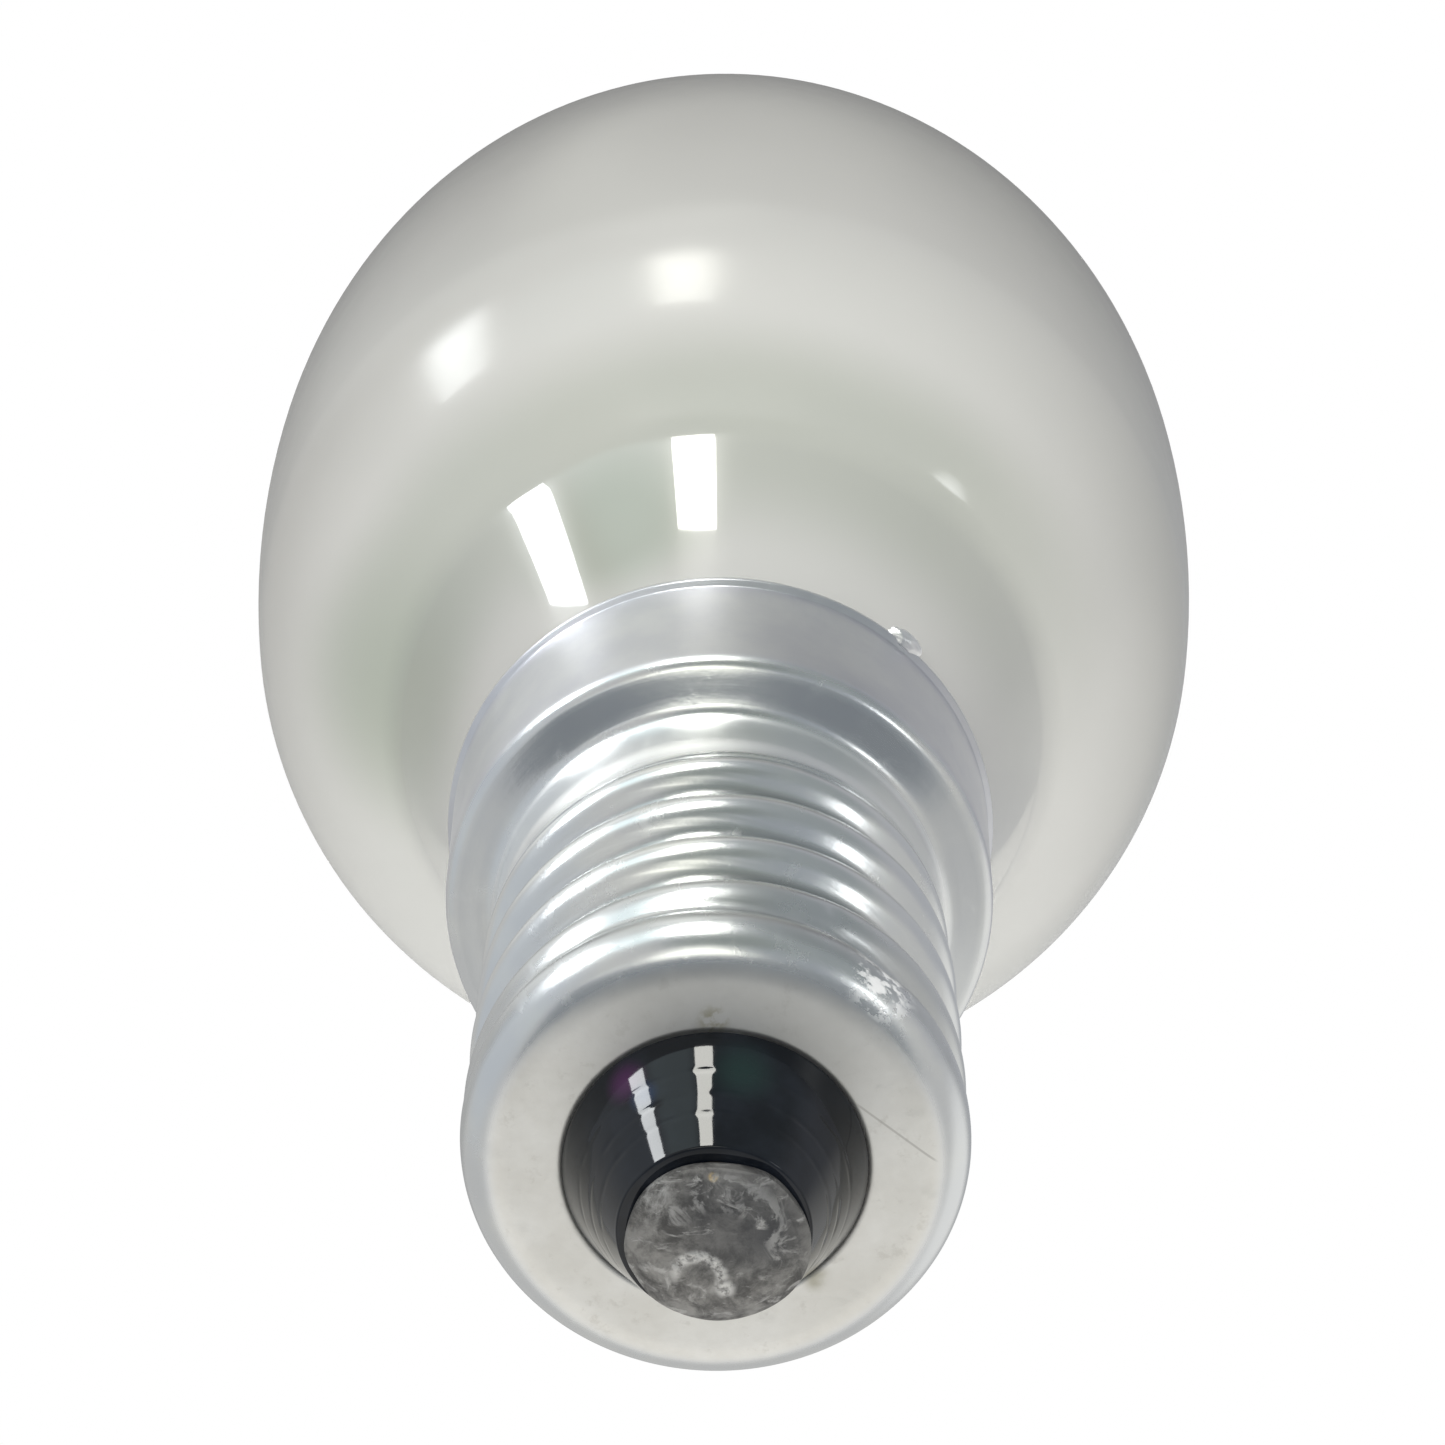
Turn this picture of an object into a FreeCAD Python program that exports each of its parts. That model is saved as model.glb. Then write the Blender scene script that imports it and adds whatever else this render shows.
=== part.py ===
# A small screw-cap candle lamp: a blown glass candle bulb, cemented into an aluminium screw cap that has a
# black glass insulator at its foot and a solder contact in the middle of it. The lamp's axis is Z, the contact's
# worn face is the origin, and the bulb's tip points up. Everything is in millimetres.
import FreeCAD, Part
import math
import os

# The whole lamp
overall_length = 98.0

# Centre contact and insulator
contact_radius = 2.4
contact_land_radius = 0.9
contact_side_height = 0.4
contact_height = 0.95
contact_edge_radius = 0.15
nose_radius = 2.62
insulator_projection = 4.3
insulator_plug_radius = 5.4
insulator_plug_height = 3.2
insulator_plug_edge = 0.6
lead_bore_radius = 0.4

# Eyelet under the solder
eyelet_radius = 2.1
eyelet_thickness = 0.3
eyelet_tube_radius = 0.8
eyelet_tube_length = 1.4
eyelet_tube_wall = 0.3
solder_stem_length = 1.2

# Screw cap, rolled from sheet
cap_wall = 0.25
cap_hole_radius = 4.1
rim_roll_radius = 1.35
thread_crest_radius = 6.9
thread_pitch = 2.822
thread_depth = 0.8
thread_length = 12.2
thread_fade_in = 2.0
thread_fade_out = 2.6
thread_crest_height = 10.44
thread_crest_azimuth = -90.0
neck_radius = 6.72
neck_length = 1.5
neck_bend_radius = 0.45
shoulder_rise = 0.75
skirt_foot_radius = 8.3
skirt_top_radius = 8.45
skirt_length = 5.85
skirt_bend_radius = 0.8
bead_projection = 0.17
bead_height = 0.4
bead_bend_radius = 0.08

# Glass envelope
envelope_radius = 17.0
belly_height = 50.9
upper_arc_fullness = 0.464
lower_arc_radius = 66.8
shoulder_arc_fullness = 0.385
ring_bend_radius = 2.5
flare_lean_at_ring = 27.0
flare_radius = 58.0
flare_lean_at_skirt = 20.0
flare_foot_radius = 3.0
tip_radius = 5.0
glass_wall = 0.6
seal_thickness = 1.6
seal_edge_radius = 2.8
exhaust_tube_radius = 1.7
exhaust_tube_length = 6.0

# Cement between the glass neck and the skirt
cement_thickness = 0.45
cement_length = 3.0
cement_set_back = 0.7

# Lead wires
lead_wire_radius = 0.12
lead_depth_in_glass = 1.0
lead_offset = 2.6
centre_lead_bend_radius = 1.2
centre_lead_slant = 3.0
side_lead_azimuth = -49.0
side_lead_bend_radius = 0.5
side_lead_drop = 0.9
side_lead_rise = 0.3

# Soldered end of the side lead, on the skirt's edge
side_solder_radius = 0.62

# Clearances
glass_to_shoulder_gap = 0.45
lead_tip_cover = 0.5

# How finely the thread's surface is laid out, and how closely its ends meet the turned surfaces beside them
steps_around = 36
steps_per_turn_of_thread = 16
joining_tolerance = 0.001

# Heights that follow from the sizes above
foot_height = insulator_projection
thread_start = foot_height + rim_roll_radius
thread_end = thread_start + thread_length
neck_end = thread_end + neck_length
skirt_start = neck_end + shoulder_rise
skirt_end = skirt_start + skirt_length
seal_height = skirt_start + glass_to_shoulder_gap
thread_root_radius = thread_crest_radius - thread_depth

AXIS = FreeCAD.Vector(0, 0, 1)
CENTRE = FreeCAD.Vector(0, 0, 0)


def at(radius, height):
    """A point of the section, in the plane of X and Z."""
    return FreeCAD.Vector(radius, 0, height)


def line(start, end):
    return Part.LineSegment(at(*start), at(*end)).toShape()


def on_circle(centre, radius, degrees):
    angle = math.radians(degrees)
    return (centre[0] + radius * math.cos(angle), centre[1] + radius * math.sin(angle))


def arc(centre, radius, start_degrees, end_degrees):
    start = on_circle(centre, radius, start_degrees)
    middle = on_circle(centre, radius, (start_degrees + end_degrees) / 2)
    end = on_circle(centre, radius, end_degrees)
    return Part.Arc(at(*start), at(*middle), at(*end)).toShape()


def unit(start, end):
    length = math.hypot(end[0] - start[0], end[1] - start[1])
    return ((end[0] - start[0]) / length, (end[1] - start[1]) / length)


def rounded_path(corners):
    """Straight runs through corners (radius, height, bend), with a tangent arc at each bend that isn't zero."""
    edges = []
    reached = corners[0][:2]
    for before, corner, after in zip(corners, corners[1:], corners[2:]):
        bend = corner[2]
        if not bend:
            edges.append(line(reached, corner[:2]))
            reached = corner[:2]
            continue
        into = unit(before, corner)
        out_of = unit(corner, after)
        turn = math.acos(into[0] * out_of[0] + into[1] * out_of[1])
        trim = bend * math.tan(turn / 2)
        start = (corner[0] - into[0] * trim, corner[1] - into[1] * trim)
        end = (corner[0] + out_of[0] * trim, corner[1] + out_of[1] * trim)
        side = math.copysign(1, into[0] * out_of[1] - into[1] * out_of[0])
        centre = (start[0] - side * into[1] * bend, start[1] + side * into[0] * bend)
        to_corner = unit(centre, corner)
        middle = (centre[0] + to_corner[0] * bend, centre[1] + to_corner[1] * bend)
        if math.dist(reached, start) > 1e-6:
            edges.append(line(reached, start))
        edges.append(Part.Arc(at(*start), at(*middle), at(*end)).toShape())
        reached = end
    if math.dist(reached, corners[-1][:2]) > 1e-6:
        edges.append(line(reached, corners[-1][:2]))
    return edges


def revolved_solid(edges):
    face = Part.Face(Part.Wire(edges))
    return face.revolve(CENTRE, AXIS, 360)


def closed_outline(corners):
    """The edges of a closed section, from its corners; the first and last of them have no bend."""
    return rounded_path(corners) + [line(corners[-1][:2], corners[0][:2])]


# Screw cap
def smooth_step(value):
    value = min(max(value, 0.0), 1.0)
    return value * value * (3 - 2 * value)


def rolled_thread_radius(height, azimuth, inset):
    """The radius of the full round thread, with equal arcs at crest and root, at an inset inside its skin."""
    quarter = thread_pitch / 4
    half_depth = thread_depth / 2
    arc_radius = (quarter ** 2 + half_depth ** 2) / (2 * half_depth)
    flank_sine = quarter / arc_radius
    turns = (azimuth - thread_crest_azimuth) / 360
    along = (height - thread_crest_height - turns * thread_pitch) % thread_pitch
    from_crest = min(along, thread_pitch - along)
    crest_arc = arc_radius - inset
    root_arc = arc_radius + inset
    if from_crest <= crest_arc * flank_sine:
        return thread_crest_radius - inset - crest_arc + math.sqrt(crest_arc ** 2 - from_crest ** 2)
    from_root = thread_pitch / 2 - from_crest
    return thread_root_radius - inset + root_arc - math.sqrt(root_arc ** 2 - from_root ** 2)


def thread_radius(height, azimuth, inset):
    """The thread with its groove running out into the rim below it and the plain neck above it."""
    crest = thread_crest_radius - inset
    groove = crest - rolled_thread_radius(height, azimuth, inset)
    fade_in = smooth_step((height - thread_start) / thread_fade_in)
    fade_out = smooth_step((thread_end - height) / thread_fade_out)
    to_neck = (thread_crest_radius - neck_radius) * (1 - fade_out)
    return crest - to_neck - groove * fade_in * fade_out


def thread_skin(inset):
    """One smooth face round the cap: a curve up the wall at each step, and closed curves through those."""
    count = math.ceil(thread_length / thread_pitch * steps_per_turn_of_thread)
    heights = [thread_start + thread_length * step / count for step in range(count + 1)]
    columns = []
    for step in range(steps_around):
        azimuth = 360 * step / steps_around
        angle = math.radians(azimuth)
        points = []
        for height in heights:
            radius = thread_radius(height, azimuth, inset)
            points.append(FreeCAD.Vector(radius * math.cos(angle), radius * math.sin(angle), height))
        column = Part.BSplineCurve()
        column.interpolate(Points=points, Parameters=heights)
        columns.append(column)
    rings = []
    for poles in zip(*[column.getPoles() for column in columns]):
        ring = Part.BSplineCurve()
        ring.interpolate(Points=list(poles), PeriodicFlag=True, Parameters=list(range(steps_around + 1)))
        rings.append(ring)
    grid = [list(row) for row in zip(*[ring.getPoles() for ring in rings])]
    skin = Part.BSplineSurface()
    skin.buildFromPolesMultsKnots(
        grid, rings[0].getMultiplicities(), columns[0].getMultiplicities(),
        rings[0].getKnots(), columns[0].getKnots(), True, False, rings[0].Degree, columns[0].Degree)
    return skin.toShape()


def skirt_wall_corners(inset):
    """Corners up the neck, over the shoulder and up the skirt, at an inset inside the cap's outer skin."""
    slope = math.atan2(shoulder_rise, skirt_foot_radius - neck_radius)
    lean = math.atan2(skirt_top_radius - skirt_foot_radius, skirt_length)
    shoulder_lift = inset * math.tan((math.pi / 2 - slope) / 2)
    skirt_lift = inset * math.tan((math.pi / 2 - slope - lean) / 2)
    skirt_foot = (skirt_foot_radius - inset * math.cos(lean) + skirt_lift * math.sin(lean),
                  skirt_start + inset * math.sin(lean) + skirt_lift * math.cos(lean))
    return [(neck_radius - inset, thread_end, 0),
            (neck_radius - inset, neck_end + shoulder_lift, neck_bend_radius + inset),
            (skirt_foot[0], skirt_foot[1], skirt_bend_radius - inset),
            (skirt_top_radius - inset / math.cos(lean), skirt_end, 0)]


def cap_foot(inset):
    flat_end = thread_crest_radius - rim_roll_radius
    return revolved_solid([
        line((0, foot_height + inset), (flat_end, foot_height + inset)),
        arc((flat_end, thread_start), rim_roll_radius - inset, -90, 0),
        line((thread_crest_radius - inset, thread_start), (0, thread_start)),
        line((0, thread_start), (0, foot_height + inset))])


def cap_thread(inset):
    skin = thread_skin(inset)
    rings = [edge for edge in skin.Edges if edge.isClosed()]
    closed = Part.Compound([skin] + [Part.Face(Part.Wire([ring])) for ring in rings])
    closed.sewShape()
    return Part.Solid(closed)


def cap_top(inset, turned_edge=()):
    wall = skirt_wall_corners(inset)
    return revolved_solid(rounded_path(wall[:-1] + list(turned_edge or wall[-1:]) + [(0, skirt_end, 0)])
                          + [line((0, skirt_end), (0, thread_end)), line((0, thread_end), wall[0][:2])])


def turned_edge_corners():
    """The skirt's top edge, turned out to a small bead."""
    reach = skirt_top_radius + bead_projection
    return [(skirt_top_radius, skirt_end - bead_height, bead_bend_radius),
            (reach, skirt_end - bead_height + bead_projection, bead_bend_radius),
            (reach, skirt_end, bead_bend_radius)]


def make_screw_shell():
    """The rolled sheet: the cap's outer form less its inner form and the hole through its foot."""
    outer = cap_thread(0).fuse([cap_foot(0), cap_top(0, turned_edge_corners())], joining_tolerance)
    inner = cap_thread(cap_wall).fuse([cap_foot(cap_wall), cap_top(cap_wall)], joining_tolerance)
    hole = Part.makeCylinder(cap_hole_radius, 2 * cap_wall, at(0, foot_height - cap_wall / 2))
    return outer.cut(inner).cut(hole)


# Glass envelope
def upper_arc_radius():
    """The arc above the belly: a share of the single arc that would run from the belly right to the tip."""
    rise = overall_length - tip_radius - belly_height
    single_arc = (envelope_radius ** 2 + rise ** 2 - tip_radius ** 2) / (2 * (envelope_radius - tip_radius))
    return upper_arc_fullness * single_arc


def shoulder_arc_radius(ring_centre):
    """The bulb's shoulder: a share of the single arc that would run from the belly to the flare's ring."""
    spread = envelope_radius - ring_centre[0]
    drop = belly_height - ring_centre[1]
    single_arc = (spread ** 2 + drop ** 2 - ring_bend_radius ** 2) / (2 * (spread + ring_bend_radius))
    return shoulder_arc_fullness * single_arc


def flare_centres():
    """The centres of the arcs that the glass neck follows up from the cement: its foot, flare and ring."""
    foot_centre = (glass_neck_radius() + flare_foot_radius, skirt_end - cement_set_back)
    foot_end = on_circle(foot_centre, flare_foot_radius, 180 - flare_lean_at_skirt)
    flare_centre = on_circle(foot_end, flare_radius, -flare_lean_at_skirt)
    flare_end = on_circle(flare_centre, flare_radius, 180 - flare_lean_at_ring)
    ring_centre = on_circle(flare_end, ring_bend_radius, -flare_lean_at_ring)
    return foot_centre, flare_centre, ring_centre


def envelope_outline(inset):
    """The bulb's section from its tip to the end of its neck, at an inset inside the outer skin."""
    upper_radius = upper_arc_radius()
    tip_centre = (0, overall_length - tip_radius)
    upper_centre = (envelope_radius - upper_radius, belly_height)
    to_tip = math.dist(tip_centre, upper_centre)
    bearing = math.degrees(math.atan2(tip_centre[1] - belly_height, tip_centre[0] - upper_centre[0]))
    taper = bearing - math.degrees(math.acos((upper_radius - tip_radius) / to_tip))
    taper_start = on_circle(tip_centre, tip_radius - inset, taper)
    taper_end = on_circle(upper_centre, upper_radius - inset, taper)

    foot_centre, flare_centre, ring_centre = flare_centres()
    lower_centre = (envelope_radius - lower_arc_radius, belly_height)
    shoulder_radius = shoulder_arc_radius(ring_centre)
    from_lower = lower_arc_radius - shoulder_radius
    from_ring = shoulder_radius + ring_bend_radius
    to_ring = math.dist(lower_centre, ring_centre)
    bearing = math.degrees(math.atan2(belly_height - ring_centre[1], ring_centre[0] - lower_centre[0]))
    corner = (from_lower ** 2 + to_ring ** 2 - from_ring ** 2) / (2 * from_lower * to_ring)
    lower_end = math.degrees(math.acos(corner)) - bearing
    shoulder_centre = on_circle(lower_centre, from_lower, lower_end)
    across, up = unit(shoulder_centre, ring_centre)
    ring_angle = math.degrees(math.atan2(up, across))
    return [
        arc(tip_centre, tip_radius - inset, 90, taper),
        line(taper_start, taper_end),
        arc(upper_centre, upper_radius - inset, taper, 0),
        arc(lower_centre, lower_arc_radius - inset, 0, lower_end),
        arc(shoulder_centre, shoulder_radius - inset, lower_end, ring_angle),
        arc(ring_centre, ring_bend_radius + inset, 180 + ring_angle, 180 - flare_lean_at_ring),
        arc(flare_centre, flare_radius + inset, 180 - flare_lean_at_ring, 180 - flare_lean_at_skirt),
        arc(foot_centre, flare_foot_radius + inset, 180 - flare_lean_at_skirt, 180)], foot_centre[1]


def skirt_inner_radius():
    """The narrowest inside of the skirt where the cement lies, just above its lower bend."""
    return skirt_foot_radius - cap_wall


def glass_neck_radius():
    return skirt_inner_radius() - cement_thickness


def make_glass_envelope(leads):
    neck = glass_neck_radius()
    tube_end = seal_height - exhaust_tube_length
    outer, neck_top = envelope_outline(0)
    outer += rounded_path([
        (neck, neck_top, 0),
        (neck, seal_height, seal_edge_radius),
        (exhaust_tube_radius, seal_height, 0),
        (exhaust_tube_radius, tube_end + exhaust_tube_radius, 0)])
    outer.append(arc((0, tube_end + exhaust_tube_radius), exhaust_tube_radius, 0, -90))
    outer.append(line((0, tube_end), (0, overall_length)))
    inner, neck_top = envelope_outline(glass_wall)
    floor = seal_height + seal_thickness
    inner += rounded_path([
        (neck - glass_wall, neck_top, 0),
        (neck - glass_wall, floor, seal_edge_radius - glass_wall),
        (0, floor, 0)])
    inner.append(line((0, floor), (0, overall_length - glass_wall)))
    glass = revolved_solid(outer).cut(revolved_solid(inner))
    for lead in leads:
        glass = glass.cut(lead)
    return glass


# Black glass insulator
def make_insulator():
    plug_top = foot_height + cap_wall + insulator_plug_height
    recess = contact_height + eyelet_thickness
    tube_end = recess + eyelet_tube_length
    return revolved_solid(closed_outline([
        (eyelet_radius, contact_height, 0),
        (nose_radius, contact_height, 0),
        (cap_hole_radius, foot_height, 0),
        (cap_hole_radius, foot_height + cap_wall, 0),
        (insulator_plug_radius, foot_height + cap_wall, 0),
        (insulator_plug_radius, plug_top, insulator_plug_edge),
        (lead_bore_radius, plug_top, 0),
        (lead_bore_radius, tube_end, 0),
        (eyelet_tube_radius, tube_end, 0),
        (eyelet_tube_radius, recess, 0),
        (eyelet_radius, recess, 0)]))


# Brass eyelet, and the solder that covers it
def make_contact_eyelet():
    recess = contact_height + eyelet_thickness
    tube_end = recess + eyelet_tube_length
    tube_bore = eyelet_tube_radius - eyelet_tube_wall
    return revolved_solid(closed_outline([
        (tube_bore, contact_height, 0),
        (eyelet_radius, contact_height, 0),
        (eyelet_radius, recess, 0),
        (eyelet_tube_radius, recess, 0),
        (eyelet_tube_radius, tube_end, 0),
        (tube_bore, tube_end, 0)]))


def make_contact_solder(centre_lead):
    side_top = contact_height - contact_side_height
    reach = contact_radius - contact_land_radius
    dome_radius = (reach ** 2 + side_top ** 2) / (2 * side_top)
    edge_angle = math.degrees(math.asin(reach / dome_radius)) - 90
    stem_radius = eyelet_tube_radius - eyelet_tube_wall
    stem_top = contact_height + solder_stem_length
    section = [
        line((0, 0), (contact_land_radius, 0)),
        arc((contact_land_radius, dome_radius), dome_radius, -90, edge_angle)]
    section += rounded_path([
        (contact_radius, side_top, 0),
        (contact_radius, contact_height, contact_edge_radius),
        (stem_radius, contact_height, 0),
        (stem_radius, stem_top, 0),
        (0, stem_top, 0)])
    section.append(line((0, stem_top), (0, 0)))
    return revolved_solid(section).cut(centre_lead)


# Lead wires
def wire_along(corners, azimuth):
    """A round wire along a rounded path in the plane at that azimuth, as straight runs and arcs."""
    path = Part.Wire(rounded_path(corners))
    start, second = corners[0], corners[1]
    ahead = unit(start, second)
    end_face = Part.Circle(at(*start[:2]), FreeCAD.Vector(ahead[0], 0, ahead[1]), lead_wire_radius)
    wire = path.makePipeShell([Part.Wire(end_face.toShape())], True, False)
    wire.rotate(CENTRE, AXIS, azimuth)
    return wire


def make_centre_lead():
    """Out of the seal beside the exhaust tube, in to the axis below it, and down through the eyelet."""
    tube_end = seal_height - exhaust_tube_length
    insulator_top = foot_height + cap_wall + insulator_plug_height
    straight = max(tube_end - lead_wire_radius, insulator_top + centre_lead_slant)
    return wire_along([
        (-lead_offset, seal_height + lead_depth_in_glass, 0),
        (-lead_offset, straight, centre_lead_bend_radius),
        (0, straight - centre_lead_slant, centre_lead_bend_radius),
        (0, lead_tip_cover, 0)], side_lead_azimuth)


def make_side_lead():
    """Out of the seal, over the cap's shoulder, up between glass and skirt, and over the skirt's edge."""
    wall = neck_radius - cap_wall - 2 * lead_wire_radius
    run = glass_neck_radius() + cement_thickness / 2
    over_edge = skirt_end + side_lead_rise
    return wire_along([
        (lead_offset, seal_height + lead_depth_in_glass, 0),
        (lead_offset, seal_height - side_lead_drop, side_lead_bend_radius),
        (wall, seal_height - side_lead_drop, side_lead_bend_radius),
        (run, seal_height + seal_edge_radius / 2, side_lead_bend_radius),
        (run, over_edge, side_lead_rise),
        (skirt_top_radius, over_edge, 0)], side_lead_azimuth)


# Cement
def make_capping_cement(side_lead):
    neck = glass_neck_radius()
    top = skirt_end - cement_set_back
    bottom = top - cement_length
    wall = skirt_wall_corners(cap_wall)
    foot, head = wall[-2], wall[-1]

    def wall_radius(height):
        share = (height - foot[1]) / (head[1] - foot[1])
        return foot[0] + share * (head[0] - foot[0])

    ring = revolved_solid(closed_outline([
        (neck, bottom, 0),
        (wall_radius(bottom), bottom, 0),
        (wall_radius(top), top, 0),
        (neck, top, 0)]))
    return ring.cut(side_lead)


# Solder spot that joins the side lead to the skirt's edge
def make_side_solder(side_lead):
    place = at(skirt_top_radius, skirt_end + side_lead_rise / 2)
    spot = Part.makeSphere(side_solder_radius, place)
    spot.rotate(CENTRE, AXIS, side_lead_azimuth)
    skirt = cap_top(0, turned_edge_corners()).cut(cap_top(cap_wall))
    return spot.cut(skirt).cut(side_lead)


def main():
    os.makedirs("parts", exist_ok=True)
    centre_lead = make_centre_lead()
    side_lead = make_side_lead()
    pieces = {
        "screw_shell": make_screw_shell(),
        "glass_envelope": make_glass_envelope([centre_lead, side_lead]),
        "insulator": make_insulator(),
        "contact_eyelet": make_contact_eyelet(),
        "contact_solder": make_contact_solder(centre_lead),
        "centre_lead": centre_lead,
        "side_lead": side_lead,
        "side_solder": make_side_solder(side_lead),
        "capping_cement": make_capping_cement(side_lead)}
    for name, piece in pieces.items():
        state = "valid" if piece.isValid() else "broken"
        print(name, state, len(piece.Solids), "solid,", round(piece.Volume, 2), "mm3")
        piece.exportStep("parts/" + name + ".step")


main()
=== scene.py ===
# A small candle bulb seen from its cap: a pearl glass bulb, cemented into a rolled aluminium screw cap with a
# black glass insulator and a soldered contact at its foot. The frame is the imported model's, in metres: the
# contact's worn face is the origin, and +Z runs up the lamp's axis to the bulb's tip.
import math
import bpy
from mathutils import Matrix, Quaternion, Vector, noise


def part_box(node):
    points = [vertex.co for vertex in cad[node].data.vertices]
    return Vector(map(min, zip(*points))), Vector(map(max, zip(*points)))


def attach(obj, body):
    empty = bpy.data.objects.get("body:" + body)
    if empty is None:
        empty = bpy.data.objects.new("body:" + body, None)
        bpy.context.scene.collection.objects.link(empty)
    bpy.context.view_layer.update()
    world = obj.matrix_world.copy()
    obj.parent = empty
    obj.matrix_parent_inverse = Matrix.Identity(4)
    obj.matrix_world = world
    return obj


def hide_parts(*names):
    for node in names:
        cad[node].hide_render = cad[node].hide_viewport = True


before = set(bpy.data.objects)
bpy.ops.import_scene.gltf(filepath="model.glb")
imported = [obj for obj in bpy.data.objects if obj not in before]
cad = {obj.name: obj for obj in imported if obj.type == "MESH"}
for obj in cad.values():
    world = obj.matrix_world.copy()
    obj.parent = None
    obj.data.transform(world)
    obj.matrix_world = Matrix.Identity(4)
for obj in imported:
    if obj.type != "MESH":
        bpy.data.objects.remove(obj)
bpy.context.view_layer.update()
mm = 0.001

# The camera. It looks up at the cap's foot from close by, so the bulb behind the cap is strongly foreshortened.
# It is held a little askew, which the roll about its own line of sight gives.
camera_place = Vector((0, -52.905 * mm, -89.3 * mm))
camera_sight = Vector((0.000138, 0.392541, 0.919734))
camera_roll = math.radians(0.84)
picture_width = 1445
focal_length_in_pixels = 4004
sensor_width = 36
bpy.ops.object.select_all(action="DESELECT")
bpy.ops.object.camera_add(location=camera_place)
camera = bpy.context.object
camera.name = "camera"
upright = camera_sight.to_track_quat("-Z", "Y")
camera.rotation_euler = (upright @ Quaternion((0, 0, 1), camera_roll)).to_euler()
camera.data.sensor_width = sensor_width
camera.data.lens = sensor_width * focal_length_in_pixels / picture_width
camera.data.clip_start = 5 * mm
camera.data.clip_end = 20
bpy.context.scene.camera = camera


# The bulb. It is blown in one piece of glass, from its tip to the sealed end of its neck inside the cap, and a
# milky pearl coat on the inside shows through the glossy skin. The neck's long flare stands in the cap's skirt.
class Outline:
    """Half a section, drawn on from its last point. A lean is the line's angle from straight up, outwards."""

    def __init__(self, radius, height, lean):
        self.points = [(radius, height)]
        self.lean = lean

    def run(self, length, steps=1):
        radius, height = self.points[-1]
        lean = math.radians(self.lean)
        for step in range(1, steps + 1):
            along = length * step / steps
            self.points.append((radius + along * math.sin(lean), height + along * math.cos(lean)))

    def bend(self, bend_radius, lean, steps):
        radius, height = self.points[-1]
        side = math.copysign(bend_radius, lean - self.lean)
        start = math.radians(self.lean)
        centre = (radius + side * math.cos(start), height - side * math.sin(start))
        for step in range(1, steps + 1):
            angle = math.radians(self.lean + (lean - self.lean) * step / steps)
            self.points.append((centre[0] - side * math.cos(angle), centre[1] + side * math.sin(angle)))
        self.lean = lean

    def corner(self, radius, height, bend_radius, lean, steps=5, run_steps=1):
        """Straight on towards a corner, which an arc rounds off, to leave it at a new lean."""
        last = self.points[-1]
        trim = bend_radius * math.tan(math.radians(abs(lean - self.lean)) / 2)
        self.run(math.hypot(radius - last[0], height - last[1]) - trim, run_steps)
        self.bend(bend_radius, lean, steps)

    def end(self, radius, height):
        self.points.append((radius, height))


def turned(name, outline, steps):
    """A round piece: one vertex is drawn along the outline, and the line is spun about the lamp's axis."""
    merge_distance = 0.001 * mm
    crease = math.radians(38)
    bpy.ops.object.select_all(action="DESELECT")
    bpy.ops.mesh.primitive_plane_add(size=mm, location=(outline.points[0][0], 0, outline.points[0][1]))
    piece = bpy.context.object
    piece.name = name
    bpy.ops.object.transform_apply()
    bpy.ops.object.mode_set(mode="EDIT")
    bpy.ops.mesh.merge(type="CENTER")
    for start, end in zip(outline.points, outline.points[1:]):
        step = (end[0] - start[0], 0, end[1] - start[1])
        bpy.ops.mesh.extrude_vertices_move(TRANSFORM_OT_translate={"value": step})
    bpy.ops.mesh.select_all(action="SELECT")
    bpy.ops.mesh.spin(steps=steps, angle=math.tau, center=(0, 0, 0), axis=(0, 0, 1))
    bpy.ops.mesh.select_all(action="SELECT")
    bpy.ops.mesh.remove_doubles(threshold=merge_distance)
    bpy.ops.mesh.normals_make_consistent(inside=False)
    bpy.ops.object.mode_set(mode="OBJECT")
    bpy.ops.object.shade_smooth_by_angle(angle=crease)
    return piece


cap_low, cap_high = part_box("screw_shell")
glass_low, glass_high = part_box("glass_envelope")
exhaust_tube_radius = 1.7 * mm
seal_height = 20.55 * mm
seal_edge_radius = 2.8 * mm
glass_neck_radius = 7.6 * mm
neck_foot_below_edge = 0.7 * mm
neck_foot_radius = 3.0 * mm
lean_at_skirt = 20.0
flare_radius = 58.0 * mm
lean_at_ring = 27.0
ring_radius = 2.5 * mm
lean_at_shoulder = 56.665
shoulder_radius = 11.0355 * mm
lean_below_belly = 8.2026
lower_arc_radius = 66.8 * mm
upper_arc_radius = 39.3706 * mm
taper_lean = -18.1477
taper_length = 33.038 * mm
tip_radius = 5.0 * mm

glass = Outline(0, glass_low.z, 90)
glass.bend(exhaust_tube_radius, 0, 8)
glass.run(seal_height - glass_low.z - exhaust_tube_radius, 4)
glass.lean = 90
glass.corner(glass_neck_radius, seal_height, seal_edge_radius, 0, 8, 2)
glass.run(cap_high.z - neck_foot_below_edge - seal_height - seal_edge_radius, 3)
glass.bend(neck_foot_radius, lean_at_skirt, 6)
glass.bend(flare_radius, lean_at_ring, 14)
glass.bend(ring_radius, lean_at_shoulder, 12)
glass.bend(shoulder_radius, lean_below_belly, 26)
glass.bend(lower_arc_radius, 0, 12)
glass.bend(upper_arc_radius, taper_lean, 16)
glass.run(taper_length, 24)
glass.bend(tip_radius, -90, 16)
glass.points[-1] = (0, glass_high.z)
bulb = turned("bulb", glass, 192)


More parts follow.
